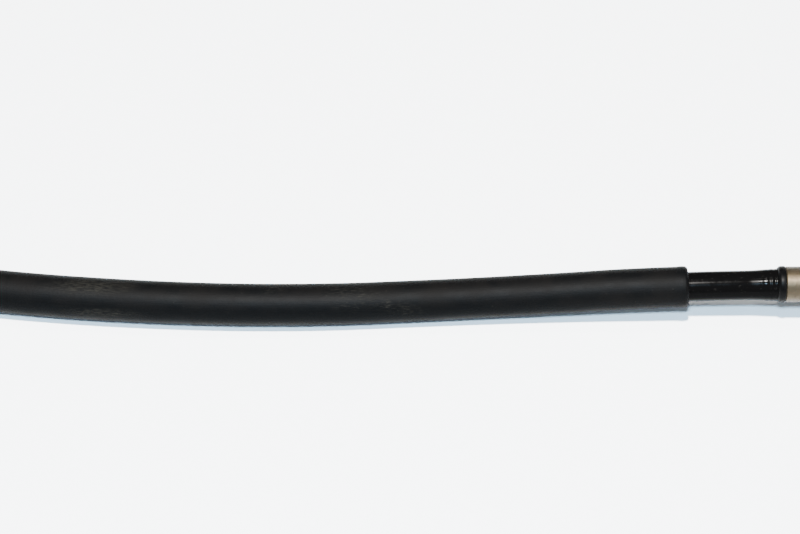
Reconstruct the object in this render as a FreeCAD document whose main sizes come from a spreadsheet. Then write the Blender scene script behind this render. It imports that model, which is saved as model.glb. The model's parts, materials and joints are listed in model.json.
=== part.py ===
import FreeCAD, Part
import math
import os
import Sketcher
from FreeCAD import Placement, Rotation, Vector

# A mechanical cable release: a thumb plunger pushes a wire through a sheathed cable, and a pin
# comes out of the threaded tip. Millimetres, +Z up. The handle lies along X with its button
# towards +X, its plate and button resting on z = 0. The cable leaves towards -X, turns round
# on the surface and ends in the tip, which points back towards +X.

doc = FreeCAD.newDocument("CableRelease")

# Driving sizes. Radii are used throughout, because nearly every piece is turned.
sizes = {
    "fitGap": 0.02,  # round a piece that is pressed, soldered or screwed in
    "runGap": 0.05,  # round a piece that slides or turns
    "edgeBreak": 0.25,
    # cable, from the wire outwards
    "wireRadius": 0.45,
    "conduitBore": 0.65,
    "conduitRadius": 1.2,
    "sheathRadius": 1.725,
    "sheathGap": 0.05,  # round the sheath, in its lips, ferrules and sleeve
    "sleeveWall": 0.625,
    "bareSheath": 10.5,  # sheath left showing between the lip and the sleeve, at each end
    "tipBack": 74.5,  # from the handle's lip back to the tip's lip, along X
    "tipAcross": 63.6,  # from the handle's axis to the tip's axis, along Y
    # lips and ferrules
    "lipStep": 0.07,  # the lip stands this far outside the ferrule
    "lipThickness": 0.8,
    "ferruleSkin": 0.275,
    "ferruleEdge": 0.12,
    "ferruleWall": 2.0,  # thickness of the closed end
    "crimpDepth": 0.16,
    "crimpWidth": 0.9,
    "crimpStart": 3.4,
    "seatDepth": 10.0,  # how far the sheath goes into the handle's ferrule
    "tipSeatDepth": 7.0,
    # barrel, from the stem outwards
    "stemRadius": 1.6,
    "springWire": 0.25,
    "springClear": 0.45,  # between the spring and the stem, and between it and the barrel
    "barrelWall": 1.0,
    "barrelLength": 28.8,
    "noseSkin": 0.73,
    "noseLength": 4.0,
    "noseSocket": 4.0,  # how far the ferrule goes into the nose
    "springWall": 2.0,
    "wireHole": 0.75,
    "spigotWall": 0.5,
    # finger plate, washer and guide bush
    "plateRim": 0.8,  # the plate and the button stand this far outside the barrel
    "plateThickness": 1.6,
    "plateHalfWidth": 10.0,
    "plateRound": 0.5,
    "washerRim": 0.8,
    "washerThickness": 0.4,
    "bushRim": 1.0,
    "bushShank": 8.0,
    "bushHead": 1.6,
    # plunger
    "stemTail": 2.5,  # left of the stop collar
    "stopThickness": 1.5,
    "stroke": 8.0,
    "strokeRest": 1.0,  # left between button and bush at full stroke
    "buttonThickness": 3.4,
    "buttonSocket": 2.0,
    "buttonDish": 0.7,
    "anchorSkin": 0.65,
    "anchorLength": 2.0,
    "wireSocket": 3.5,
    # return spring
    "seatThickness": 0.5,
    "springTurns": 9,
    # plunger lock
    "lockBack": 3.2,  # from the finger plate back to the lock screw's axis
    "lockShank": 1.0,
    "lockHeadRim": 1.5,
    "lockHead": 2.6,
    "lockTravel": 0.3,
    "lockBossWall": 1.15,
    "lockBossHeight": 1.5,
    "padThickness": 0.8,
    # tip
    "spindleBore": 0.7,
    "spindleWall": 0.2,
    "flangeStep": 0.2,  # the spindle's flange stands this far outside the ferrule
    "flangeThickness": 0.8,
    "endPlay": 0.1,
    "swivelWall": 0.95,
    "swivelLength": 6.0,
    "swivelOverlap": 1.2,  # how far the swivel reaches back over the ferrule
    "counterStep": 0.5,  # the swivel's counterbore lies this far outside the ferrule
    "ringThickness": 0.7,
    "threadSkin": 0.54,  # left between the thread's root and the swivel's bore
    "threadDepth": 0.26,
    "threadTaper": 0.03,  # radius lost at each turn
    "threadPitch": 0.5,
    "threadTurns": 9,
    "pinProud": 0.6,  # past the thread's end at rest
    # knurls
    "knurlRadius": 0.3,
    "knurlDepth": 0.18,
}

# Sizes that follow from the driving ones, as sums in words: see split below.
sums = {
    "sleeveRadius": "sheathRadius sheathGap sleeveWall",
    "ferruleRadius": "sheathRadius sheathGap ferruleSkin",
    "lipRadius": "ferruleRadius lipStep",
    "noseRadius": "ferruleRadius fitGap noseSkin",
    "springRadius": "stemRadius springClear springWire",
    "barrelBore": "stemRadius springClear*2 springWire*2",
    "barrelRadius": "barrelBore barrelWall",
    "spigotRadius": "barrelBore spigotWall",
    "washerRadius": "spigotRadius washerRim",
    "bushHeadRadius": "spigotRadius bushRim",
    "axisHeight": "barrelRadius plateRim",
    "anchorRadius": "wireRadius anchorSkin",
    "lockHeadRadius": "lockShank lockHeadRim",
    "lockBossRadius": "lockShank runGap lockBossWall",
    "lockBossTop": "barrelRadius lockBossHeight",
    "pinRadius": "spindleBore -runGap",
    "spindleRadius": "spindleBore spindleWall",
    "flangeRadius": "ferruleRadius flangeStep",
    "counterBore": "ferruleRadius counterStep",
    "swivelRadius": "counterBore swivelWall",
    "threadRadius": "spindleRadius runGap threadSkin threadDepth",
}

sheet = doc.addObject("Spreadsheet::Sheet", "Sizes")
for row, (alias, value) in enumerate(sizes.items(), 1):
    sheet.set(f"A{row}", alias)
    sheet.set(f"B{row}", str(value))
    sheet.setAlias(f"B{row}", alias)
doc.recompute()

alongX = Rotation(Vector(0, 1, 0), 90)  # turns a primitive's Z axis to X
standing = Rotation(Vector(0, 1, 0), -90)  # turns a turned body's X axis to Z


# A sum of sizes is written as words, such as "barrelLength -plateThickness threadPitch*2".
def split(words):
    for word in words.split():
        name, _, count = word.lstrip("-").partition("*")
        times = (-1 if word.startswith("-") else 1) * float(count or 1)
        if name in sums:
            yield from ((inner, times * share) for inner, share in split(sums[name]))
        else:
            yield name, times


def number(words):
    return sum(times * float(sheet.get(name)) for name, times in split(words))


def formula(words):
    total = {}
    for name, times in split(words):
        total[name] = total.get(name, 0) + times
    return " + ".join(f"({times:g}) * Sizes.{name}" for name, times in total.items() if times) or "0"


def minus(words):
    return " ".join(word[1:] if word.startswith("-") else "-" + word for word in words.split())


# Stations along the handle and the tip, as sums of sizes from each one's lip.
ferruleEnd = "lipThickness seatDepth ferruleWall"
barrelStart = f"{ferruleEnd} -noseSocket"
springSeatAt = f"{barrelStart} noseSocket springWall"
barrelEnd = f"{barrelStart} barrelLength"
plateAt = f"{barrelEnd} -plateThickness"
bushStart = f"{barrelEnd} -bushShank"
stopAt = f"{bushStart} -runGap -stopThickness"
stemStart = f"{stopAt} -stemTail"
bushEnd = f"{barrelEnd} washerThickness bushHead"
buttonAt = f"{bushEnd} stroke strokeRest"
handleLength = f"{buttonAt} buttonThickness"
lockAt = f"{plateAt} -lockBack"
tipFerruleEnd = "lipThickness tipSeatDepth ferruleWall"
swivelAt = f"{tipFerruleEnd} -swivelOverlap"
tipEnd = f"{swivelAt} swivelLength threadPitch*{sizes['threadTurns']}"


def xNumber(end, along):
    return -number(handleLength) / 2 - (end == "tip") * number("tipBack") + number(along)


def place(piece, end, along, turn=Rotation(), height=""):
    """Puts a piece on the handle's or the tip's axis, at a station, or above it by height."""
    piece.Placement = Placement(Vector(), turn)
    back = "Sizes.tipBack" if end == "tip" else "0"
    piece.setExpression("Placement.Base.x", f"-({formula(handleLength)}) / 2 - {back} + {formula(along)}")
    axis = "swivelRadius runGap" if end == "tip" else "axisHeight"
    piece.setExpression("Placement.Base.z", formula(f"{axis} {height}"))
    if end == "tip":
        piece.setExpression("Placement.Base.y", "Sizes.tipAcross")
    return piece


def sketchOn(body, plane, name):
    sketch = body.newObject("Sketcher::SketchObject", name)
    face = next(f for f in body.Origin.OriginFeatures if f.Role == plane)
    sketch.AttachmentSupport = [(face, "")]
    sketch.MapMode = "FlatFace"
    return sketch


def pin(sketch, shape, corner, way, words):
    """Holds one point of a sketch at a sum of sizes from the origin."""
    if not words:
        sketch.addConstraint(Sketcher.Constraint("PointOnObject", shape, corner, -2 if way == "X" else -1))
        return
    rule = Sketcher.Constraint(f"Distance{way}", -1, 1, shape, corner, number(words))
    sketch.setExpression(f"Constraints[{sketch.addConstraint(rule)}]", formula(words))


def turned(name, end, along, profile, turn=Rotation(), height=""):
    """A body turned from a closed profile of (distance along the axis, radius) corners."""
    body = doc.addObject("PartDesign::Body", name)
    sketch = sketchOn(body, "XY_Plane", name + "Profile")
    corners = [Vector(number(a), number(r), 0) for a, r in profile]
    for this, corner in enumerate(corners):
        sketch.addGeometry(Part.LineSegment(corner, corners[(this + 1) % len(corners)]), False)
    for this in range(len(corners)):
        sketch.addConstraint(Sketcher.Constraint("Coincident", this, 2, (this + 1) % len(corners), 1))
    for this, (a, r) in enumerate(profile):
        pin(sketch, this, 1, "X", a)
        pin(sketch, this, 1, "Y", r)
    lathe = body.newObject("PartDesign::Revolution", name + "Turning")
    lathe.Profile = sketch
    lathe.ReferenceAxis = (sketch, ["H_Axis"])
    lathe.Angle = 360
    return place(body, end, along, turn, height)


def crossHole(body, along, radius, reach):
    """A hole from the axis of a turned body out through its +Z side."""
    sketch = sketchOn(body, "XY_Plane", body.Name + "HoleSketch")
    circle = sketch.addGeometry(Part.Circle(Vector(number(along), 0, 0), Vector(0, 0, 1), number(radius)), False)
    pin(sketch, circle, 3, "X", along)
    pin(sketch, circle, 3, "Y", "")
    rule = sketch.addConstraint(Sketcher.Constraint("Radius", circle, number(radius)))
    sketch.setExpression(f"Constraints[{rule}]", formula(radius))
    hole = body.newObject("PartDesign::Pocket", body.Name + "Hole")
    hole.Profile = sketch
    hole.Reversed = True
    hole.setExpression("Length", formula(reach))


def knurl(body, radius, length, count):
    """Shallow round grooves along the rim of a turned body, from its start."""
    sketch = sketchOn(body, "YZ_Plane", body.Name + "KnurlSketch")
    away = f"{radius} knurlRadius -knurlDepth"
    circle = sketch.addGeometry(
        Part.Circle(Vector(number(away), 0, 0), Vector(0, 0, 1), number("knurlRadius")), False
    )
    pin(sketch, circle, 3, "X", away)
    pin(sketch, circle, 3, "Y", "")
    rule = sketch.addConstraint(Sketcher.Constraint("Radius", circle, number("knurlRadius")))
    sketch.setExpression(f"Constraints[{rule}]", "Sizes.knurlRadius")
    groove = body.newObject("PartDesign::Pocket", body.Name + "Groove")
    groove.Profile = sketch
    groove.Reversed = True
    groove.setExpression("Length", formula(length))
    around = body.newObject("PartDesign::PolarPattern", body.Name + "Knurl")
    around.Originals = [groove]
    around.Axis = (sketch, ["N_Axis"])
    around.Angle = 360
    around.Occurrences = count
    body.Tip = around


def lip(name, end):
    return turned(
        name,
        end,
        "",
        [
            ("", "sheathRadius sheathGap"),
            ("lipThickness", "sheathRadius sheathGap"),
            ("lipThickness", "lipRadius -ferruleEdge"),
            ("lipThickness -ferruleEdge", "lipRadius"),
            ("ferruleEdge", "lipRadius"),
            ("", "lipRadius -ferruleEdge"),
        ],
    )


def ferrule(name, end, seat, hole, crimps):
    """A turned tube with a seat for the sheath, an end wall, and crimped rings."""
    long = f"{seat} ferruleWall"
    outside = [("", "ferruleRadius -ferruleEdge"), ("ferruleEdge", "ferruleRadius")]
    for crimp in range(crimps):
        at = f"crimpStart crimpWidth*{2 * crimp}"
        outside += [
            (at, "ferruleRadius"),
            (f"{at} crimpDepth", "ferruleRadius -crimpDepth"),
            (f"{at} crimpWidth -crimpDepth", "ferruleRadius -crimpDepth"),
            (f"{at} crimpWidth", "ferruleRadius"),
        ]
    outside += [(f"{long} -ferruleEdge", "ferruleRadius"), (long, "ferruleRadius -ferruleEdge")]
    inside = [
        (long, hole),
        (seat, hole),
        (seat, "sheathRadius sheathGap"),
        ("", "sheathRadius sheathGap"),
    ]
    return turned(name, end, "lipThickness", outside + inside)


def barrel():
    body = turned(
        "barrel",
        "handle",
        barrelStart,
        [
            ("", "ferruleRadius fitGap"),
            ("noseSocket", "ferruleRadius fitGap"),
            ("noseSocket", "wireHole"),
            ("noseSocket springWall", "wireHole"),
            ("noseSocket springWall", "barrelBore"),
            ("barrelLength", "barrelBore"),
            ("barrelLength", "spigotRadius"),
            ("barrelLength -plateThickness", "spigotRadius"),
            ("barrelLength -plateThickness", "barrelRadius -edgeBreak"),
            ("barrelLength -plateThickness -edgeBreak", "barrelRadius"),
            ("noseLength", "barrelRadius"),
            ("edgeBreak", "noseRadius"),
            ("", "noseRadius -edgeBreak"),
        ],
    )
    crossHole(body, "barrelLength -plateThickness -lockBack", "lockShank runGap", "barrelRadius edgeBreak")


def fingerPlate():
    """A flat plate with round ends, as high as the axis stands, on the barrel's spigot."""
    body = doc.addObject("PartDesign::Body", "finger_plate")
    sketch = sketchOn(body, "YZ_Plane", "PlateOutline")
    end = number("axisHeight")
    centre = number("plateHalfWidth -axisHeight")
    up = Vector(0, 0, 1)
    quarter = math.pi / 2
    sketch.addGeometry(Part.ArcOfCircle(Part.Circle(Vector(centre, 0, 0), up, end), -quarter, quarter), False)
    sketch.addGeometry(Part.LineSegment(Vector(centre, end, 0), Vector(-centre, end, 0)), False)
    sketch.addGeometry(
        Part.ArcOfCircle(Part.Circle(Vector(-centre, 0, 0), up, end), quarter, 3 * quarter), False
    )
    sketch.addGeometry(Part.LineSegment(Vector(-centre, -end, 0), Vector(centre, -end, 0)), False)
    for this in range(4):
        sketch.addConstraint(Sketcher.Constraint("Tangent", this, 2, (this + 1) % 4, 1))
    pin(sketch, 0, 3, "X", "plateHalfWidth -axisHeight")
    pin(sketch, 0, 3, "Y", "")
    sketch.addConstraint(Sketcher.Constraint("Symmetric", 0, 3, 2, 3, -1, 1))
    rule = sketch.addConstraint(Sketcher.Constraint("Radius", 0, end))
    sketch.setExpression(f"Constraints[{rule}]", formula("axisHeight"))
    plate = body.newObject("PartDesign::Pad", "PlatePad")
    plate.Profile = sketch
    plate.setExpression("Length", "Sizes.plateThickness")
    doc.recompute()
    rims = [
        f"Face{index}" for index, face in enumerate(plate.Shape.Faces, 1) if abs(face.normalAt(0, 0).x) > 0.9
    ]
    soft = body.newObject("PartDesign::Fillet", "PlateRims")
    soft.Base = (plate, rims)
    soft.setExpression("Radius", "Sizes.plateRound")
    body.Tip = soft
    place(body, "handle", plateAt)
    # the hole for the spigot
    seat = body.newObject("Sketcher::SketchObject", "PlateSeat")
    seat.AttachmentSupport = [(next(f for f in body.Origin.OriginFeatures if f.Role == "YZ_Plane"), "")]
    seat.MapMode = "FlatFace"
    circle = seat.addGeometry(Part.Circle(Vector(0, 0, 0), up, number("spigotRadius fitGap")), False)
    seat.addConstraint(Sketcher.Constraint("Coincident", circle, 3, -1, 1))
    rule = seat.addConstraint(Sketcher.Constraint("Radius", circle, number("spigotRadius fitGap")))
    seat.setExpression(f"Constraints[{rule}]", formula("spigotRadius fitGap"))
    hole = body.newObject("PartDesign::Pocket", "PlateHole")
    hole.Profile = seat
    hole.Reversed = True
    hole.setExpression("Length", formula("plateThickness edgeBreak"))
    body.Tip = hole


def guideBush():
    long = "bushShank washerThickness bushHead"
    body = turned(
        "guide_bush",
        "handle",
        bushStart,
        [
            ("", "stemRadius runGap"),
            (long, "stemRadius runGap"),
            (long, "bushHeadRadius -edgeBreak*2"),
            (f"{long} -edgeBreak*2", "bushHeadRadius"),
            ("bushShank washerThickness", "bushHeadRadius"),
            ("bushShank washerThickness", "barrelBore -fitGap"),
            ("edgeBreak", "barrelBore -fitGap"),
            ("", "barrelBore -edgeBreak"),
        ],
    )
    crossHole(body, "bushShank -plateThickness -lockBack", "lockShank runGap", "barrelBore edgeBreak")


def ring(name, end, along, inner, outer, thickness):
    return turned(
        name, end, along, [("", inner), (thickness, inner), (thickness, outer), ("", outer)]
    )


def plunger():
    long = "stemTail stopThickness runGap bushShank washerThickness bushHead stroke strokeRest buttonSocket"
    turned(
        "plunger_stem",
        "handle",
        stemStart,
        [
            ("", "wireRadius fitGap"),
            ("wireSocket", "wireRadius fitGap"),
            ("wireSocket", ""),
            (long, ""),
            (long, "stemRadius"),
            ("edgeBreak", "stemRadius"),
            ("", "stemRadius -edgeBreak"),
        ],
    )
    ring("stop_collar", "handle", stopAt, "stemRadius fitGap", "barrelBore -runGap", "stopThickness")
    ring(
        "wire_anchor",
        "handle",
        f"{stemStart} -anchorLength",
        "wireRadius fitGap",
        "anchorRadius",
        "anchorLength",
    )
    # the straight end of the push wire, soldered into the stem, which moves with it
    wireEnd = f"{springSeatAt} -springWall"
    turned(
        "drive_wire",
        "handle",
        wireEnd,
        [
            ("", ""),
            (f"{stemStart} wireSocket -fitGap {minus(wireEnd)}", ""),
            (f"{stemStart} wireSocket -fitGap {minus(wireEnd)}", "wireRadius"),
            ("", "wireRadius"),
        ],
    )


def thumbButton():
    blank = turned(
        "button_blank",
        "handle",
        buttonAt,
        [
            ("", "stemRadius fitGap"),
            ("buttonSocket fitGap", "stemRadius fitGap"),
            ("buttonSocket fitGap", ""),
            ("buttonThickness", ""),
            ("buttonThickness", "axisHeight -edgeBreak*2"),
            ("buttonThickness -edgeBreak*2", "axisHeight"),
            ("edgeBreak", "axisHeight"),
            ("", "axisHeight -edgeBreak"),
        ],
    )
    # a ball's cap, as wide as the face inside its rim and as deep as the dish
    wide = number("axisHeight -edgeBreak*4")
    ball = (wide**2 + number("buttonDish") ** 2) / (2 * number("buttonDish"))
    dish = doc.addObject("Part::Sphere", "DishBall")
    dish.Radius = ball
    place(dish, "handle", f"{buttonAt} buttonThickness -buttonDish")
    dish.setExpression(
        "Placement.Base.x", f"-({formula(handleLength)}) / 2 + {formula(handleLength + ' -buttonDish')} + {ball}"
    )
    return cut("thumb_button", blank, dish)


def cut(name, base, tool):
    piece = doc.addObject("Part::Cut", name)
    piece.Base = base
    piece.Tool = tool
    return piece


def returnSpring():
    """Between its seat against the barrel's wall and the stop collar."""
    long = f"{stopAt} {minus(springSeatAt)} -seatThickness -springWire*2"
    coil = doc.addObject("Part::Helix", "SpringCoil")
    coil.setExpression("Radius", formula("springRadius"))
    coil.setExpression("Height", formula(long))
    coil.setExpression("Pitch", f"({formula(long)}) / Sizes.springTurns")
    coil.SegmentLength = 1  # one face for each turn
    place(coil, "handle", f"{springSeatAt} seatThickness springWire", alongX)
    wire = doc.addObject("Part::Circle", "SpringWire")
    wire.setExpression("Radius", "Sizes.springWire")
    # the coil starts at its own +X, which lies downwards, and its wire crosses at right angles
    place(wire, "handle", f"{springSeatAt} seatThickness springWire", Rotation(Vector(1, 0, 0), 90))
    wire.setExpression("Placement.Base.z", formula("axisHeight -springRadius"))
    doc.recompute()
    spring = doc.addObject("Part::Sweep", "return_spring")
    spring.Sections = [wire]
    spring.Spine = (coil, [f"Edge{n + 1}" for n in range(len(coil.Shape.Edges))])
    spring.Solid = True
    spring.Frenet = True


def lock():
    blank = turned(
        "boss_blank",
        "handle",
        lockAt,
        [
            ("", "lockShank runGap"),
            ("lockBossTop", "lockShank runGap"),
            ("lockBossTop", "lockBossRadius -edgeBreak"),
            ("lockBossTop -edgeBreak", "lockBossRadius"),
            ("", "lockBossRadius"),
        ],
        standing,
    )
    body = doc.addObject("Part::Cylinder", "BossSeat")
    body.setExpression("Radius", formula("barrelRadius fitGap"))
    body.setExpression("Height", formula("lockBossRadius*4"))
    place(body, "handle", f"{lockAt} -lockBossRadius*2", alongX)
    cut("lock_boss", blank, body)
    padAt = "stemRadius lockTravel fitGap"
    turned(
        "lock_pad",
        "handle",
        lockAt,
        [("", ""), ("padThickness", ""), ("padThickness", "lockShank -fitGap"), ("", "lockShank -fitGap")],
        standing,
        padAt,
    )
    shankAt = f"{padAt} padThickness fitGap"
    under = f"lockBossTop lockTravel*2 {minus(shankAt)}"
    top = f"{under} lockHead"
    screw = turned(
        "lock_screw",
        "handle",
        lockAt,
        [
            ("", ""),
            (top, ""),
            (top, "lockHeadRadius -edgeBreak"),
            (f"{top} -edgeBreak", "lockHeadRadius"),
            (f"{under} edgeBreak", "lockHeadRadius"),
            (under, "lockHeadRadius -edgeBreak"),
            (under, "lockShank"),
            ("", "lockShank"),
        ],
        standing,
        shankAt,
    )
    knurl(screw, "lockHeadRadius", f"{top} edgeBreak", 20)


def tip():
    long = f"ferruleWall flangeThickness {tipEnd} {minus(tipFerruleEnd)} -flangeThickness"
    turned(
        "tip_spindle",
        "tip",
        f"{tipFerruleEnd} -ferruleWall",
        [
            ("", "spindleBore"),
            (long, "spindleBore"),
            (long, "spindleRadius"),
            ("ferruleWall flangeThickness", "spindleRadius"),
            ("ferruleWall flangeThickness", "flangeRadius"),
            ("ferruleWall", "flangeRadius"),
            ("ferruleWall", "spindleRadius"),
            ("", "spindleRadius"),
        ],
    )
    deep = "swivelOverlap flangeThickness endPlay"
    outside = [
        ("", "swivelRadius -edgeBreak"),
        ("edgeBreak", "swivelRadius"),
        ("swivelLength -edgeBreak*2", "swivelRadius"),
        ("swivelLength", "swivelRadius -edgeBreak*2"),
        ("swivelLength", "threadRadius -threadDepth"),
    ]
    for turn in range(int(number("threadTurns"))):
        crest = f"threadRadius -threadTaper*{turn}"
        outside += [
            (f"swivelLength threadPitch*{turn + 0.42:g}", crest),
            (f"swivelLength threadPitch*{turn + 0.58:g}", crest),
            (f"swivelLength threadPitch*{turn + 1:g}", f"{crest} -threadDepth"),
        ]
    length = f"swivelLength threadPitch*{int(number('threadTurns'))}"
    swivel = turned(
        "swivel_collar",
        "tip",
        swivelAt,
        outside
        + [
            (length, "spindleRadius runGap"),
            (deep, "spindleRadius runGap"),
            (deep, "counterBore"),
            ("", "counterBore"),
        ],
    )
    knurl(swivel, "swivelRadius", "swivelLength edgeBreak", 30)
    ring(
        "retaining_ring",
        "tip",
        f"{tipFerruleEnd} -endPlay -ringThickness",
        "ferruleRadius runGap",
        "counterBore -fitGap",
        "ringThickness",
    )
    pinStart = f"{tipFerruleEnd} -ferruleWall endPlay"
    long = f"{tipEnd} pinProud {minus(pinStart)}"
    turned(
        "release_pin",
        "tip",
        pinStart,
        [
            ("", ""),
            (long, ""),
            (long, "pinRadius -ferruleEdge"),
            (f"{long} -ferruleEdge", "pinRadius"),
            ("", "pinRadius"),
        ],
    )


def routePoints():
    """The cable's corners: x from the handle's lip, y, and the height of its centre."""
    start = xNumber("handle", "")
    onAxis = number("axisHeight")
    laid = number("sleeveRadius")
    held = number("swivelRadius runGap")
    across = number("tipAcross")
    points = [
        (number("lipThickness seatDepth"), 0, onAxis),
        (-9, 0, onAxis),
        (-33, -0.1, laid),
        (-60, -1.65, laid),
        (-92, 0.7, laid),
        (-113.5, 5.2, laid),
        (-128.5, 16.9, laid),
        (-133.5, 34.2, laid),
        (-127.3, 51.1, laid),
        (-113, 61.0, laid),
        (-98, across - 0.1, laid),
        (-78, across, held),
        (-number("tipBack") + number("lipThickness tipSeatDepth"), across, held),
    ]
    return [Vector(start + x, y, z) for x, y, z in points]


def cableRun(corners):
    """Straight runs joined by tangent arcs, each arc as large as its two runs allow."""
    edges = []
    radii = []
    at = corners[0]
    for before, corner, after in zip(corners, corners[1:], corners[2:]):
        back = before - corner
        on = after - corner
        half = (math.pi - back.getAngle(on)) / 2
        cutBack = 0.45 * min(back.Length, on.Length)
        radii.append(cutBack / math.tan(half))
        back.normalize()
        on.normalize()
        first = corner + back * cutBack
        last = corner + on * cutBack
        inward = (back + on).normalize()
        middle = corner + inward * (radii[-1] / math.cos(half) - radii[-1])
        edges.append(Part.LineSegment(at, first).toShape())
        edges.append(Part.Arc(first, middle, last).toShape())
        at = last
    edges.append(Part.LineSegment(at, corners[-1]).toShape())
    print("cable radii", [round(r, 1) for r in radii])
    return edges


def between(edges, start, end):
    """The run of edges from start to end, as distances along it."""
    kept = []
    done = 0
    for edge in edges:
        low = max(start - done, 0)
        high = min(end - done, edge.Length)
        if high - low > 0.001:
            ends = [edge.getParameterByLength(length) for length in (low, high)]
            kept.append(edge.Curve.toShape(*ends))
        done += edge.Length
    return kept


def rod(name, edges, radius):
    """A round solid along a run of edges."""
    path = doc.addObject("Part::Feature", name + "Path")
    path.Shape = Part.Wire(edges)
    section = doc.addObject("Part::Circle", name + "Section")
    heading = edges[0].tangentAt(edges[0].FirstParameter)
    section.Placement = Placement(edges[0].valueAt(edges[0].FirstParameter), Rotation(Vector(0, 0, 1), heading))
    section.setExpression("Radius", formula(radius))
    sweep = doc.addObject("Part::Sweep", name)
    sweep.Sections = [section]
    sweep.Spine = (path, [f"Edge{n + 1}" for n in range(len(edges))])
    sweep.Solid = True
    sweep.Frenet = False
    return sweep


def tube(name, edges, outer, inner):
    return cut(name, rod(name + "Outside", edges, outer), rod(name + "Inside", edges, inner))


def cable():
    edges = cableRun(routePoints())
    long = sum(edge.Length for edge in edges)
    seat = number("lipThickness seatDepth")
    tipSeat = number("lipThickness tipSeatDepth")
    bare = number("bareSheath")
    # the push wire's straight end moves with the plunger, so the laid wire starts a stroke away
    wireFrom = number("ferruleWall -springWall runGap stroke fitGap")
    tube("inner_sheath", edges, "sheathRadius", "conduitRadius runGap")
    tube("cable_conduit", edges, "conduitRadius", "conduitBore")
    rod("push_wire", between(edges, wireFrom, long), "wireRadius")
    sleeve = between(edges, seat + bare, long - tipSeat - bare)
    tube("outer_sleeve", sleeve, "sleeveRadius", "sheathRadius sheathGap")
    print("sheath length", round(long, 2), "from lip to lip", round(long - seat - tipSeat, 2))
    return {
        "inner_sheath": (edges, "sheathRadius", "conduitRadius runGap"),
        "cable_conduit": (edges, "conduitRadius", "conduitBore"),
        "push_wire": (between(edges, wireFrom, long), "wireRadius", ""),
        "outer_sleeve": (sleeve, "sleeveRadius", "sheathRadius sheathGap"),
    }


lip("handle_lip", "handle")
ferrule("handle_ferrule", "handle", "seatDepth", "wireHole", 2)
barrel()
ring("spring_seat", "handle", springSeatAt, "wireHole", "barrelBore -fitGap", "seatThickness")
fingerPlate()
ring("bush_washer", "handle", barrelEnd, "barrelBore fitGap", "washerRadius", "washerThickness")
guideBush()
plunger()
thumbButton()
returnSpring()
lock()
lip("tip_lip", "tip")
ferrule("tip_ferrule", "tip", "tipSeatDepth", "spindleRadius fitGap", 1)
tip()
cableSizes = cable()
doc.recompute()

nodes = """
handle_lip handle_ferrule barrel spring_seat finger_plate bush_washer guide_bush lock_boss
plunger_stem stop_collar wire_anchor drive_wire thumb_button return_spring lock_pad lock_screw
outer_sleeve inner_sheath cable_conduit push_wire
tip_lip tip_ferrule tip_spindle swivel_collar retaining_ring release_pin
""".split()

for item in doc.Objects:
    assert "Invalid" not in item.State and "Error" not in item.State, f"{item.Name}: {item.State}"
for name, (edges, outer, inner) in cableSizes.items():
    hollow = number(inner) if inner else 0
    expected = math.pi * (number(outer) ** 2 - hollow**2) * sum(edge.Length for edge in edges)
    made = doc.getObject(name).Shape.Volume
    assert abs(made / expected - 1) < 0.002, f"{name}: {made} is not its section times its length"
for item in doc.Objects:
    if item.TypeId in ("PartDesign::Pocket", "PartDesign::PolarPattern"):
        before = item.BaseFeature or item.Originals[0]
        removed = before.Shape.Volume - item.Shape.Volume
        assert removed > 0.001, f"{item.Name} cuts nothing"

os.makedirs("parts", exist_ok=True)
for name in nodes:
    item = doc.getObject(name)
    item.Label = name
    shape = item.Shape
    assert not shape.isNull() and shape.isValid() and len(shape.Solids) == 1, f"{name} is not one good solid"
    shape.exportStep(f"parts/{name}.step")
    box = shape.BoundBox
    print(f"{name:16s} {box.XMin:8.2f} {box.XMax:8.2f} {box.YMin:7.2f} {box.YMax:7.2f} {box.ZMin:6.2f} {box.ZMax:6.2f}")
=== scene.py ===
import bpy
import json
import math
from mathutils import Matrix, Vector


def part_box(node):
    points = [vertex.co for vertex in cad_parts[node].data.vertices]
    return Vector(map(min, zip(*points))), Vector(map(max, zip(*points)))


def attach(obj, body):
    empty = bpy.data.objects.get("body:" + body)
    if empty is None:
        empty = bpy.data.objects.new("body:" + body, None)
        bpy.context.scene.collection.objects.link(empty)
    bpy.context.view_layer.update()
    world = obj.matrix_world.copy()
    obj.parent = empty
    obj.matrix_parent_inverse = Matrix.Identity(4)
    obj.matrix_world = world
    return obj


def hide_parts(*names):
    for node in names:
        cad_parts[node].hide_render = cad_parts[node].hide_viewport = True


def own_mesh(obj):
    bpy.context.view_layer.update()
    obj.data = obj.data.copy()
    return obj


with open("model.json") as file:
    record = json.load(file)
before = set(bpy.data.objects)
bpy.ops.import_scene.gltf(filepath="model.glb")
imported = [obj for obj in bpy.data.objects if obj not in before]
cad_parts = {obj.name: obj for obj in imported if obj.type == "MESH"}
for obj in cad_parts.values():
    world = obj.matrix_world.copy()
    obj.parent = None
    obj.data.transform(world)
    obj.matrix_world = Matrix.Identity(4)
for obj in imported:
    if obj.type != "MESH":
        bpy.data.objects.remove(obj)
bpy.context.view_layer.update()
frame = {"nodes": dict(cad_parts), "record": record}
nodes = frame["nodes"]
mm = 0.001
print("frame loaded:", len(nodes), "nodes")

# camera, at the height and tilt of someone looking down at a tabletop
cameraSetup = {
    "lookAt": Vector((-0.0697, 0.00439, 0.0024)),
    "distance": 0.36,
    "elevation": 52.0,
    "lens": 138.3,
}
tilt = math.radians(cameraSetup["elevation"])
away = Vector((0, -math.cos(tilt), math.sin(tilt)))
cameraData = bpy.data.cameras.new("tableCamera")
cameraData.lens = cameraSetup["lens"]
cameraData.sensor_width = 36.0
cameraData.clip_start = 0.01
camera = bpy.data.objects.new("tableCamera", cameraData)
camera.location = cameraSetup["lookAt"] + away * cameraSetup["distance"]
camera.rotation_euler = (-away).to_track_quat("-Z", "Y").to_euler()
bpy.context.collection.objects.link(camera)
bpy.context.scene.camera = camera
print("camera set")

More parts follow.
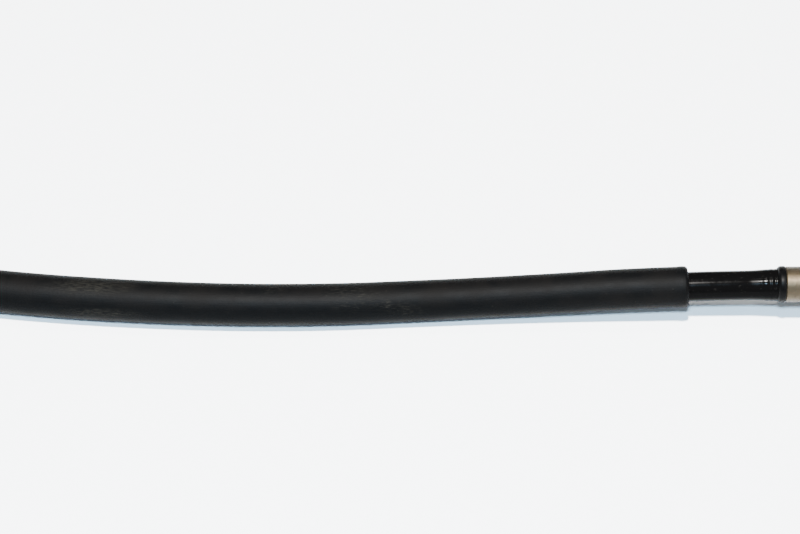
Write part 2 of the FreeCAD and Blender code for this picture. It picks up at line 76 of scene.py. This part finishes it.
# the cable's route, as listed points: it leaves the handle, lies down, turns back and reaches the tip
routePoints = [
    (-15.2, 0, 4.8),
    (-35, 0, 4.8),
    (-59, -0.15, 2.42),
    (-86.5, -1.62, 2.44),
    (-118, 0.5, 2.5),
    (-139.5, 5.1, 2.46),
    (-154.5, 16.9, 2.42),
    (-159.5, 34.2, 2.4),
    (-153.3, 51.1, 2.4),
    (-139, 61.0, 2.4),
    (-124, 63.5, 2.4),
    (-104, 63.6, 3.55),
    (-92.7, 63.6, 3.55),
]
routeResolution = 60


def readRoute():
    data = bpy.data.curves.new("cableRoute", "CURVE")
    data.dimensions = "3D"
    data.resolution_u = routeResolution
    spline = data.splines.new("NURBS")
    spline.points.add(len(routePoints) - 1)
    for point, place in zip(spline.points, routePoints):
        point.co = (*(value * mm for value in place), 1)
    spline.order_u = 3
    spline.use_endpoint_u = True
    holder = bpy.data.objects.new("cableRoute", data)
    line = bpy.data.meshes.new_from_object(holder)
    route = [vertex.co.copy() for vertex in line.vertices]
    bpy.data.objects.remove(holder)
    bpy.data.meshes.remove(line)
    return route


class Route:
    # a place and a heading at any distance along the cable
    def __init__(self, points):
        self.points = points
        self.reach = [0.0]
        for before, after in zip(points, points[1:]):
            self.reach.append(self.reach[-1] + (after - before).length)
        self.length = self.reach[-1]

    def at(self, along):
        along = min(max(along, 0.0), self.length)
        low, high = 0, len(self.reach) - 1
        while high - low > 1:
            middle = (low + high) // 2
            if self.reach[middle] <= along:
                low = middle
            else:
                high = middle
        span = self.reach[high] - self.reach[low]
        share = (along - self.reach[low]) / span if span else 0.0
        place = self.points[low].lerp(self.points[high], share)
        return place, (self.points[high] - self.points[low]).normalized()


cable = Route(readRoute())
print("cable route", round(cable.length * 1000, 1), "mm")


uvPerMetre = 10


def skinAlong(name, outline, sides):
    # outline: (distance along the cable, radius, its own unevenness) for each ring, closed at both ends
    points = []
    faces = []
    places = []
    for along, radius, uneven in outline:
        centre, heading = cable.at(along)
        across = Vector((0, 0, 1)).cross(heading).normalized()
        up = heading.cross(across)
        for side in range(sides):
            turn = 2 * math.pi * side / sides
            out = across * math.cos(turn) + up * math.sin(turn)
            points.append(centre + out * radius * (1 + uneven * waver(along, turn)))
            places.append((along, side / sides))
    rings = len(outline)
    for ring in range(rings):
        following = (ring + 1) % rings
        for side in range(sides):
            beside = (side + 1) % sides
            faces.append((
                ring * sides + side,
                ring * sides + beside,
                following * sides + beside,
                following * sides + side,
            ))
    mesh = bpy.data.meshes.new(name)
    mesh.from_pydata(points, [], faces)
    mesh.validate()
    uv = mesh.uv_layers.new(name="alongAndAround")
    for face in mesh.polygons:
        # a face that closes the circle takes its last corners past 1, not back to 0
        wraps = any(places[vertex][1] > 0.75 for vertex in face.vertices)
        for loop in face.loop_indices:
            along, around = places[mesh.loops[loop].vertex_index]
            if wraps and around < 0.25:
                around += 1.0
            uv.data[loop].uv = (along * uvPerMetre, around)
    mesh.shade_smooth()
    piece = bpy.data.objects.new(name, mesh)
    bpy.context.collection.objects.link(piece)
    return piece


# soft, uneven swelling of old moulded rubber
swellWaves = [
    {"perMetre": 210, "around": 0, "offset": 1.3, "height": 0.5},
    {"perMetre": 517, "around": 2, "offset": 0.4, "height": 0.3},
    {"perMetre": 1130, "around": -1, "offset": 2.1, "height": 0.175},
    {"perMetre": 1790, "around": 3, "offset": 0.0, "height": 0.125},
]


def waver(along, turn):
    swell = 0.0
    for wave in swellWaves:
        angle = along * wave["perMetre"] + turn * wave["around"] + wave["offset"]
        swell += wave["height"] * math.sin(angle)
    return swell


def smooth(value):
    value = min(max(value, 0.0), 1.0)
    return value * value * (3 - 2 * value)


# glossy sheath, from the bottom of one ferrule to the other
leaves = Vector(routePoints[0]) * mm
lipFace = leaves.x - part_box("handle_lip")[0].x
sheath = {
    "radius": 1.72 * mm,
    "step": 0.3 * mm,
    "insideStep": 0.8 * mm,
    "fineStep": 0.06 * mm,  # near each lip
    "fineReach": 3.2 * mm,
    "sides": 40,
    "flare": 0.14 * mm,
    "flareLength": 3.6 * mm,
    "rippleHeight": 0.02 * mm,
    "ripplePitch": 0.62 * mm,
    "rippleStart": 0.3 * mm,
    "rippleLength": 2.2 * mm,
    "evenByLip": 0.15 * mm,
    "unevenness": 0.003,
    "insideRadius": 1.3 * mm,
}
sheathEndLip = cable.length - (cable.points[-1].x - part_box("tip_lip")[0].x)


def sheathRadius(along):
    radius = sheath["radius"]
    for lip, sign in ((lipFace, 1), (sheathEndLip, -1)):
        away = (along - lip) * sign
        if away < 0:
            continue
        radius += sheath["flare"] * smooth(1 - away / sheath["flareLength"])
        fade = smooth(away / sheath["rippleStart"]) * smooth(1 - away / sheath["rippleLength"])
        radius += sheath["rippleHeight"] * math.sin(2 * math.pi * away / sheath["ripplePitch"]) * fade
    return radius


def steps(start, end, size):
    count = max(int(round((end - start) / size)), 1)
    return [start + (end - start) * number / count for number in range(count + 1)]


stations = steps(0, lipFace, sheath["step"])
stations += steps(lipFace, lipFace + sheath["fineReach"], sheath["fineStep"])[1:]
stations += steps(lipFace + sheath["fineReach"], sheathEndLip - sheath["fineReach"], sheath["step"])[1:]
stations += steps(sheathEndLip - sheath["fineReach"], sheathEndLip, sheath["fineStep"])[1:]
stations += steps(sheathEndLip, cable.length, sheath["step"])[1:]
outline = []
for along in stations:
    shown = lipFace + sheath["evenByLip"] < along < sheathEndLip - sheath["evenByLip"]
    outline.append((along, sheathRadius(along), sheath["unevenness"] if shown else 0))
inside = steps(0, cable.length, sheath["insideStep"])
outline += [(along, sheath["insideRadius"], 0) for along in reversed(inside)]
cableSheath = skinAlong("cable_sheath", outline, sheath["sides"])
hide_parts("inner_sheath")
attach(cableSheath, "release")
print("sheath made")

# rubber tube pushed over the sheath
sleeve = {
    "radius": 2.37 * mm,
    "fuller": 0.11 * mm,  # more, away from both ends
    "fullerFrom": 35 * mm,
    "fullerOver": 60 * mm,
    "insideRadius": 1.84 * mm,
    "step": 0.3 * mm,
    "insideStep": 0.8 * mm,
    "fineStep": 0.04 * mm,  # near each end
    "fineReach": 1.8 * mm,
    "sides": 56,
    "rim": 0.045 * mm,
    "rimReach": 0.75 * mm,
    "rimWidth": 0.45 * mm,
    "edge": 0.42 * mm,
    "unevenness": 0.0032,
}
sleeveStart = leaves.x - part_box("outer_sleeve")[1].x
bareSheath = sleeveStart - lipFace
sleeveEnd = sheathEndLip - bareSheath


def sleeveRadius(along):
    fuller = sleeve["fuller"] * smooth((along - sleeve["fullerFrom"]) / sleeve["fullerOver"])
    radius = sleeve["radius"] + fuller * smooth((sleeveEnd - along) / sleeve["fullerOver"])
    for edge, sign in ((sleeveStart, 1), (sleeveEnd, -1)):
        away = (along - edge) * sign
        swell = math.exp(-((away - sleeve["rimReach"]) / sleeve["rimWidth"]) ** 2)
        radius += sleeve["rim"] * swell
        if away < sleeve["edge"]:
            missing = 1 - max(away, 0) / sleeve["edge"]
            radius -= sleeve["edge"] * (1 - math.sqrt(max(1 - missing**2, 0)))
    return radius


stations = steps(sleeveStart, sleeveStart + sleeve["fineReach"], sleeve["fineStep"])
stations += steps(sleeveStart + sleeve["fineReach"], sleeveEnd - sleeve["fineReach"], sleeve["step"])[1:]
stations += steps(sleeveEnd - sleeve["fineReach"], sleeveEnd, sleeve["fineStep"])[1:]
outline = [(along, sleeveRadius(along), sleeve["unevenness"]) for along in stations]
inside = steps(sleeveStart, sleeveEnd, sleeve["insideStep"])
outline += [(along, sleeve["insideRadius"], 0) for along in reversed(inside)]
cableSleeve = skinAlong("cable_sleeve", outline, sleeve["sides"])
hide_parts("outer_sleeve")
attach(cableSleeve, "release")
print("sleeve made")


# flared lips where the sheath enters each ferrule
lipShape = {
    "sides": 64,
    "profile": [  # along, and from the axis, in mm, from the sheath's side
        (-0.12, 1.76),
        (-0.1, 1.88),
        (-0.02, 1.96),
        (0.06, 2.04),
        (0.16, 2.09),
        (0.3, 2.115),
        (0.66, 2.12),
        (0.74, 2.1),
        (0.79, 2.06),
        (0.8, 2.0),
        (0.8, 1.76),
    ],
}


def turnedLip(name, node):
    low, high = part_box(node)
    centreY = (low.y + high.y) / 2
    centreZ = (low.z + high.z) / 2
    profile = lipShape["profile"]
    sides = lipShape["sides"]
    points = []
    for along, radius in profile:
        for side in range(sides):
            turn = 2 * math.pi * side / sides
            points.append((
                low.x + along * mm,
                centreY + radius * mm * math.cos(turn),
                centreZ + radius * mm * math.sin(turn),
            ))
    faces = []
    for ring in range(len(profile)):
        following = (ring + 1) % len(profile)
        for side in range(sides):
            beside = (side + 1) % sides
            faces.append((
                ring * sides + side,
                ring * sides + beside,
                following * sides + beside,
                following * sides + side,
            ))
    mesh = bpy.data.meshes.new(name)
    mesh.from_pydata(points, [], faces)
    mesh.shade_smooth()
    piece = bpy.data.objects.new(name, mesh)
    bpy.context.collection.objects.link(piece)
    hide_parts(node)
    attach(piece, "release")
    return piece


handleLip = turnedLip("handle_lip_flared", "handle_lip")
tipLip = turnedLip("tip_lip_flared", "tip_lip")
print("lips made")

# return spring, wound at rest between seat and collar; in the real release it shortens as the plunger
# goes in
spring = {
    "wire": 0.25 * mm,
    "turns": 9,
    "closedTurns": 1.0,  # lie side by side at each end
    "closedPitch": 2.1,  # in wire radii
    "clearance": 0.04 * mm,  # between the last turn and the collar
    "stepsPerTurn": 40,
    "sides": 12,
}


def woundSpring():
    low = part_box("return_spring")[0]
    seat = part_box("spring_seat")[1].x
    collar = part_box("stop_collar")[0].x
    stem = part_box("plunger_stem")
    axisY = (stem[0].y + stem[1].y) / 2
    axisZ = (stem[0].z + stem[1].z) / 2
    wire = spring["wire"]
    radius = axisZ - low.z - wire
    start, end = seat + wire, collar - wire - spring["clearance"]
    closed = spring["closedTurns"]
    closedPitch = spring["closedPitch"] * wire
    openTurns = spring["turns"] - 2 * closed
    openPitch = (end - start - 2 * closed * closedPitch) / openTurns

    def axial(turned):
        if turned < closed:
            return start + turned * closedPitch
        if turned > closed + openTurns:
            return end - (spring["turns"] - turned) * closedPitch
        return start + closed * closedPitch + (turned - closed) * openPitch

    points = []
    count = spring["turns"] * spring["stepsPerTurn"]
    for number in range(count + 1):
        turned = number / spring["stepsPerTurn"]
        angle = 2 * math.pi * turned
        out = Vector((0, math.sin(angle), -math.cos(angle)))
        centre = Vector((axial(turned), axisY, axisZ)) + out * radius
        for side in range(spring["sides"]):
            around = 2 * math.pi * side / spring["sides"]
            lengthwise = Vector((wire * math.sin(around), 0, 0))
            points.append(centre + out * wire * math.cos(around) + lengthwise)
    sides = spring["sides"]
    faces = [tuple(range(sides))]
    for ring in range(count):
        for side in range(sides):
            beside = (side + 1) % sides
            faces.append((
                ring * sides + side,
                (ring + 1) * sides + side,
                (ring + 1) * sides + beside,
                ring * sides + beside,
            ))
    faces.append(tuple(reversed(range(count * sides, (count + 1) * sides))))
    mesh = bpy.data.meshes.new("return_spring_wound")
    mesh.from_pydata(points, [], faces)
    mesh.shade_smooth()
    piece = bpy.data.objects.new("return_spring_wound", mesh)
    bpy.context.collection.objects.link(piece)
    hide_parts("return_spring")
    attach(piece, "release")
    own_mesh(piece)
    return piece


returnSpring = woundSpring()
print("spring wound")

# finishes
def newFinish(name):
    material = bpy.data.materials.new(name)
    material.use_nodes = True
    tree = material.node_tree
    shader = tree.nodes["Principled BSDF"]
    return material, tree, shader


def addNode(tree, kind, settings=None, values=None):
    node = tree.nodes.new(kind)
    for key, value in (settings or {}).items():
        setattr(node, key, value)
    for key, value in (values or {}).items():
        node.inputs[key].default_value = value
    return node


def stretched(tree, source, scale):
    place = addNode(tree, "ShaderNodeTexCoord")
    mapping = addNode(tree, "ShaderNodeMapping")
    mapping.inputs["Scale"].default_value = scale
    tree.links.new(place.outputs[source], mapping.inputs["Vector"])
    return mapping.outputs["Vector"]


def noise(tree, vector, scale, detail=4.0, rough=0.55, distortion=0.0):
    values = {"Scale": scale, "Detail": detail, "Roughness": rough, "Distortion": distortion}
    node = addNode(tree, "ShaderNodeTexNoise", values=values)
    tree.links.new(vector, node.inputs["Vector"])
    return node.outputs["Fac"]


def ranged(tree, value, low, high, least=0.0, most=1.0):
    node = addNode(tree, "ShaderNodeMapRange", {"interpolation_type": "SMOOTHSTEP"})
    for key, number in (("From Min", low), ("From Max", high), ("To Min", least), ("To Max", most)):
        node.inputs[key].default_value = number
    tree.links.new(value, node.inputs["Value"])
    return node.outputs["Result"]


def maths(tree, operation, first, second):
    node = addNode(tree, "ShaderNodeMath", {"operation": operation})
    for socket, value in zip(node.inputs, (first, second)):
        if isinstance(value, (int, float)):
            socket.default_value = value
        else:
            tree.links.new(value, socket)
    return node.outputs["Value"]


def blended(tree, factor, first, second):
    node = addNode(tree, "ShaderNodeMix", {"data_type": "RGBA"})
    tree.links.new(factor, node.inputs["Factor"])
    for socket, value in ((node.inputs[6], first), (node.inputs[7], second)):
        if isinstance(value, tuple):
            socket.default_value = (*value, 1)
        else:
            tree.links.new(value, socket)
    return node.outputs[2]


def bumped(tree, height, distance, strength=1.0, normal=None):
    node = addNode(tree, "ShaderNodeBump", values={"Distance": distance, "Strength": strength})
    tree.links.new(height, node.inputs["Height"])
    if normal:
        tree.links.new(normal, node.inputs["Normal"])
    return node.outputs["Normal"]


def patch(tree, centre, reach):
    # 1 in the middle of a worn place, fading to 0 at its reach on each axis
    place = addNode(tree, "ShaderNodeTexCoord")
    minus = addNode(tree, "ShaderNodeVectorMath", {"operation": "SUBTRACT"})
    minus.inputs[1].default_value = centre
    size = addNode(tree, "ShaderNodeVectorMath", {"operation": "DIVIDE"})
    size.inputs[1].default_value = reach
    far = addNode(tree, "ShaderNodeVectorMath", {"operation": "LENGTH"})
    tree.links.new(place.outputs["Object"], minus.inputs[0])
    tree.links.new(minus.outputs["Vector"], size.inputs[0])
    tree.links.new(size.outputs["Vector"], far.inputs[0])
    return ranged(tree, far.outputs["Value"], 0.15, 1.0, 1.0, 0.0)


def patches(tree, spots):
    whole = None
    for centre, reach in spots:
        spot = patch(tree, centre, reach)
        whole = spot if whole is None else maths(tree, "MAXIMUM", whole, spot)
    return whole


# matte over-sleeve: lighter on top, part dust and part painted sheen, faint moulding streaks along it,
# scuffs and one crease of dust
sleeveLook = {
    "clean": (0.0006, 0.0008, 0.0010),
    # colour of the dust, also used as the painted sheen on the top of the sleeve
    "dustAndSheen": (0.0020, 0.0018, 0.0017),
    "scuff": (0.0105, 0.0098, 0.0080),
    "worn": [
        ((-0.1054, -0.0004, 0.0049), (0.0068, 0.0016, 0.0016)),
        ((-0.1045, -0.0029, 0.0029), (0.0068, 0.0010, 0.0010)),
    ],
    "crease": [
        ((-0.0845, -0.0004, 0.0046), (0.0022, 0.0016, 0.0014)),
        ((-0.0755, -0.0012, 0.0042), (0.0042, 0.0026, 0.0022)),
        ((-0.0760, -0.0008, 0.0048), (0.0034, 0.0010, 0.0016)),
        ((-0.0736, -0.0017, 0.0046), (0.0034, 0.0010, 0.0016)),
        ((-0.0712, -0.0024, 0.0042), (0.0034, 0.0009, 0.0016)),
        ((-0.0690, -0.0029, 0.0036), (0.0030, 0.0009, 0.0014)),
    ],
    "lowestRough": 0.50,
    "highestRough": 0.58,
    "scuffedRough": 0.2,  # added where scuffed
    "specular": 0.022,
    "clouds": 260,
    "fineDust": 2600,
    "topFrom": 2.6 * mm,
    "topTo": 5.0 * mm,
    "streaks": (9, 60, 1),
    "streakShare": 0.35,
    "flecks": (45, 60, 1),
    "grainDepth": 0.03 * mm,
}
sleeveRubber, tree, shader = newFinish("sleeveRubber")
objectSpace = stretched(tree, "Object", (1, 1, 1))
alongSpace = stretched(tree, "UV", sleeveLook["streaks"])
cloud = noise(tree, objectSpace, sleeveLook["clouds"], 5.0, 0.6)
fineDust = noise(tree, objectSpace, sleeveLook["fineDust"], 3.0, 0.6)
streak = noise(tree, alongSpace, 3.0, 4.0, 0.6)
height = addNode(tree, "ShaderNodeSeparateXYZ")
tree.links.new(objectSpace, height.inputs["Vector"])
# painted sheen: the upper part of the sleeve is made lighter by height, patchy like dust
upper = ranged(tree, height.outputs["Z"], sleeveLook["topFrom"], sleeveLook["topTo"])
dustAndTopSheen = maths(tree, "MULTIPLY", upper, ranged(tree, cloud, 0.30, 0.70, 0.35, 1.0))
worn = patches(tree, sleeveLook["worn"])
flecks = noise(tree, stretched(tree, "UV", sleeveLook["flecks"]), 2.2, 6.0, 0.75)
worn = maths(tree, "MULTIPLY", worn, ranged(tree, flecks, 0.45, 0.60))
crease = patches(tree, sleeveLook["crease"])
crease = maths(tree, "MULTIPLY", crease, ranged(tree, flecks, 0.50, 0.66))
scuffed = maths(tree, "MAXIMUM", worn, crease)
specks = ranged(tree, fineDust, 0.70, 0.78)
scuffed = maths(tree, "MULTIPLY", scuffed, 0.75)
specks = maths(tree, "MULTIPLY", specks, 0.5)
scuffed = maths(tree, "MAXIMUM", scuffed, specks)
colour = blended(tree, dustAndTopSheen, sleeveLook["clean"], sleeveLook["dustAndSheen"])
lined = maths(tree, "MULTIPLY", ranged(tree, streak, 0.45, 0.70), sleeveLook["streakShare"])
colour = blended(tree, lined, colour, sleeveLook["dustAndSheen"])
colour = blended(tree, scuffed, colour, sleeveLook["scuff"])
tree.links.new(colour, shader.inputs["Base Color"])
roughness = ranged(tree, cloud, 0.3, 0.7, sleeveLook["lowestRough"], sleeveLook["highestRough"])
extra = maths(tree, "MULTIPLY", scuffed, sleeveLook["scuffedRough"])
roughness = maths(tree, "ADD", roughness, extra)
tree.links.new(roughness, shader.inputs["Roughness"])
shader.inputs["Specular IOR Level"].default_value = sleeveLook["specular"]
grain = bumped(tree, fineDust, sleeveLook["grainDepth"], 0.5)
tree.links.new(bumped(tree, streak, sleeveLook["grainDepth"], 0.5, grain), shader.inputs["Normal"])
cableSleeve.data.materials.append(sleeveRubber)

# glossy sheath: almost black, with soft specks in its polish
sheathLook = {
    "colour": (0.0012, 0.0011, 0.0011),
    "specked": (0.0045, 0.0042, 0.0038),
    "rough": (0.10, 0.24),
    "ior": 1.06,
    "haze": 900,
    "specks": 2400,
    "pullDepth": 0.02 * mm,
}
sheathGloss, tree, shader = newFinish("sheathGloss")
objectSpace = stretched(tree, "Object", (1, 1, 1))
haze = noise(tree, objectSpace, sheathLook["haze"], 3.0)
speck = ranged(tree, noise(tree, objectSpace, sheathLook["specks"], 2.0), 0.64, 0.74)
pull = noise(tree, stretched(tree, "UV", (6, 30, 1)), 3.0, 3.0)
colour = blended(tree, speck, sheathLook["colour"], sheathLook["specked"])
tree.links.new(colour, shader.inputs["Base Color"])
tree.links.new(ranged(tree, haze, 0.3, 0.75, *sheathLook["rough"]), shader.inputs["Roughness"])
tree.links.new(bumped(tree, pull, sheathLook["pullDepth"], 0.14), shader.inputs["Normal"])
shader.inputs["IOR"].default_value = sheathLook["ior"]
cableSheath.data.materials.append(sheathGloss)

# satin black of the lips
lipLook = {
    "dark": (0.0006, 0.0006, 0.0008),
    "pale": (0.0022, 0.0020, 0.0018),
    "rough": (0.3, 0.5),
    "ior": 1.09,
    "clouds": 1400,
    "grainDepth": 0.03 * mm,
}
lipRubber, tree, shader = newFinish("lipRubber")
objectSpace = stretched(tree, "Object", (1, 1, 1))
cloud = noise(tree, objectSpace, lipLook["clouds"], 4.0)
colour = blended(tree, cloud, lipLook["dark"], lipLook["pale"])
tree.links.new(colour, shader.inputs["Base Color"])
tree.links.new(ranged(tree, cloud, 0.3, 0.7, *lipLook["rough"]), shader.inputs["Roughness"])
tree.links.new(bumped(tree, cloud, lipLook["grainDepth"], 0.4), shader.inputs["Normal"])
shader.inputs["IOR"].default_value = lipLook["ior"]
for piece in (handleLip, tipLip):
    piece.data.materials.append(lipRubber)


def metalFinish(name, look):
    # worn metal: tarnish in clouds, fine lines along the turning direction, small dents
    material, tree, shader = newFinish(name)
    objectSpace = stretched(tree, "Object", (1, 1, 1))
    lines = noise(tree, stretched(tree, "Object", look["lineScale"]), look["lines"], 4.0, 0.65)
    cloud = noise(tree, objectSpace, look["clouds"], 5.0, 0.6, 0.4)
    stain = noise(tree, objectSpace, look["clouds"] * 4, 4.0, 0.6)
    worn = ranged(tree, cloud, look["tarnishFrom"], look["tarnishTo"])
    colour = blended(tree, worn, look["bright"], look["tarnish"])
    dark = maths(tree, "MULTIPLY", ranged(tree, stain, 0.58, 0.74), look["stains"])
    colour = blended(tree, dark, colour, look["stain"])
    tree.links.new(colour, shader.inputs["Base Color"])
    shader.inputs["Metallic"].default_value = look["metallic"]
    roughness = ranged(tree, lines, 0.3, 0.7, *look["rough"])
    wornRough = maths(tree, "MULTIPLY", worn, 0.10)
    tree.links.new(maths(tree, "ADD", roughness, wornRough), shader.inputs["Roughness"])
    first = bumped(tree, stain, look["bump"] * 1.5, 0.35)
    tree.links.new(bumped(tree, lines, look["bump"], 0.5, first), shader.inputs["Normal"])
    return material


nickelPlate = metalFinish("nickelPlate", {
    "bright": (0.40, 0.385, 0.36),
    "tarnish": (0.27, 0.25, 0.22),
    "stain": (0.13, 0.095, 0.055),
    "stains": 0.45,
    "metallic": 1.0,
    "rough": (0.14, 0.26),
    "clouds": 190,
    "lines": 1600,
    "lineScale": (4.0, 0.4, 0.4),
    "tarnishFrom": 0.42,
    "tarnishTo": 0.70,
    "bump": 0.0000008,
})
agedBrass = metalFinish("agedBrass", {
    "bright": (0.056, 0.043, 0.026),
    "tarnish": (0.041, 0.031, 0.019),
    "stain": (0.026, 0.016, 0.008),
    "stains": 0.55,
    "metallic": 0.9,
    "rough": (0.34, 0.52),
    "clouds": 420,
    "lines": 1200,
    "lineScale": (0.35, 2.4, 2.4),
    "tarnishFrom": 0.36,
    "tarnishTo": 0.64,
    "bump": 0.00001,
})
brightBrass = metalFinish("brightBrass", {
    "bright": (0.70, 0.50, 0.22),
    "tarnish": (0.50, 0.35, 0.16),
    "stain": (0.20, 0.13, 0.06),
    "stains": 0.35,
    "metallic": 1.0,
    "rough": (0.2, 0.34),
    "clouds": 380,
    "lines": 1500,
    "lineScale": (3.0, 0.5, 0.5),
    "tarnishFrom": 0.45,
    "tarnishTo": 0.75,
    "bump": 0.000006,
})
drawnSteel = metalFinish("drawnSteel", {
    "bright": (0.56, 0.56, 0.57),
    "tarnish": (0.42, 0.41, 0.40),
    "stain": (0.17, 0.12, 0.08),
    "stains": 0.3,
    "metallic": 1.0,
    "rough": (0.2, 0.36),
    "clouds": 500,
    "lines": 1500,
    "lineScale": (0.3, 2.5, 2.5),
    "tarnishFrom": 0.45,
    "tarnishTo": 0.75,
    "bump": 0.000005,
})

# polished black moulding of the thumb button, with thumb wear
buttonLook = {
    "dark": (0.0022, 0.0020, 0.0019),
    "pale": (0.0048, 0.0044, 0.0040),
    "rough": (0.14, 0.24),
    "ior": 1.3,
    "clouds": 420,
    "scratches": 900,
    "scratchDepth": 0.001 * mm,
}
buttonBlack, tree, shader = newFinish("buttonBlack")
objectSpace = stretched(tree, "Object", (1, 1, 1))
cloud = noise(tree, objectSpace, buttonLook["clouds"], 4.0)
scratch = noise(tree, stretched(tree, "Object", (1, 6, 0.6)), buttonLook["scratches"], 3.0, 0.7)
colour = blended(tree, cloud, buttonLook["dark"], buttonLook["pale"])
tree.links.new(colour, shader.inputs["Base Color"])
tree.links.new(ranged(tree, scratch, 0.35, 0.7, *buttonLook["rough"]), shader.inputs["Roughness"])
tree.links.new(bumped(tree, scratch, buttonLook["scratchDepth"], 0.3), shader.inputs["Normal"])
shader.inputs["IOR"].default_value = buttonLook["ior"]

returnSpring.data.materials.append(drawnSteel)

finishOfSlot = {
    "nickel": nickelPlate,
    "aged_brass": agedBrass,
    "bright_brass": brightBrass,
    "steel": drawnSteel,
    "sleeve_rubber": sleeveRubber,
    "sheath_gloss": sheathGloss,
    "lip_rubber": lipRubber,
    "button_black": buttonBlack,
}
for subpart in frame["record"]["subparts"]:
    node = nodes[subpart["node"]]
    node.data.materials.clear()
    node.data.materials.append(finishOfSlot[subpart["material_slot"]])
print("finishes made")

# pale table top
table = {
    "size": 1.6,
    "dark": (0.80, 0.80, 0.80),
    "pale": (0.83, 0.83, 0.83),
    "rough": 0.8,
    "grain": 700,
}
tableMesh = bpy.data.meshes.new("tableTop")
half = table["size"] / 2
corners = [(-half, -half, 0), (half, -half, 0), (half, half, 0), (-half, half, 0)]
tableMesh.from_pydata(corners, [], [(0, 1, 2, 3)])
tableTop = bpy.data.objects.new("tableTop", tableMesh)
bpy.context.collection.objects.link(tableTop)
paper, tree, shader = newFinish("palePaper")
grain = noise(tree, stretched(tree, "Object", (1, 1, 1)), table["grain"], 3.0)
tree.links.new(blended(tree, grain, table["dark"], table["pale"]), shader.inputs["Base Color"])
shader.inputs["Roughness"].default_value = table["rough"]
tableMesh.materials.append(paper)

# soft studio light
lights = [
    {"name": "overheadSoftbox", "kind": "AREA", "at": (-0.07, 0.09, 0.42), "to": (-0.07, 0.0, 0),
     "size": 0.035, "power": 0.7, "colour": (1.0, 0.955, 0.90)},
    {"name": "coolPanel", "kind": "AREA", "at": (-0.086, -0.24, 0.45), "to": (-0.08, 0, 0),
     "size": 0.05, "power": 6.5, "colour": (0.50, 0.76, 1.0)},
    {"name": "coolFill", "kind": "AREA", "at": (-0.07, -0.50, 0.22), "to": (-0.07, 0, 0),
     "size": 0.9, "power": 1.7, "colour": (0.50, 0.76, 1.0)},
    {"name": "centreSpot", "kind": "SPOT", "at": (-0.072, -0.085, 0.50), "to": (-0.068, -0.004, 0),
     "size": 0.018, "power": 72.0, "colour": (1.0, 0.96, 0.91), "cone": 80.0},
]
for setup in lights:
    data = bpy.data.lights.new(setup["name"], setup["kind"])
    data.energy = setup["power"]
    data.color = setup["colour"]
    if setup["kind"] == "AREA":
        data.size = setup["size"]
    else:
        data.shadow_soft_size = setup["size"]
        data.spot_size = math.radians(setup["cone"])
        data.spot_blend = 1.0
    lamp = bpy.data.objects.new(setup["name"], data)
    lamp.location = setup["at"]
    aim = Vector(setup["to"]) - Vector(setup["at"])
    lamp.rotation_euler = aim.to_track_quat("-Z", "Y").to_euler()
    bpy.context.collection.objects.link(lamp)
room = {"colour": (0.90, 0.94, 1.0, 1), "strength": 0.25}
world = bpy.data.worlds.new("studioRoom")
world.use_nodes = True
background = world.node_tree.nodes["Background"]
background.inputs["Color"].default_value = room["colour"]
background.inputs["Strength"].default_value = room["strength"]
bpy.context.scene.world = world
print("table and lights made")
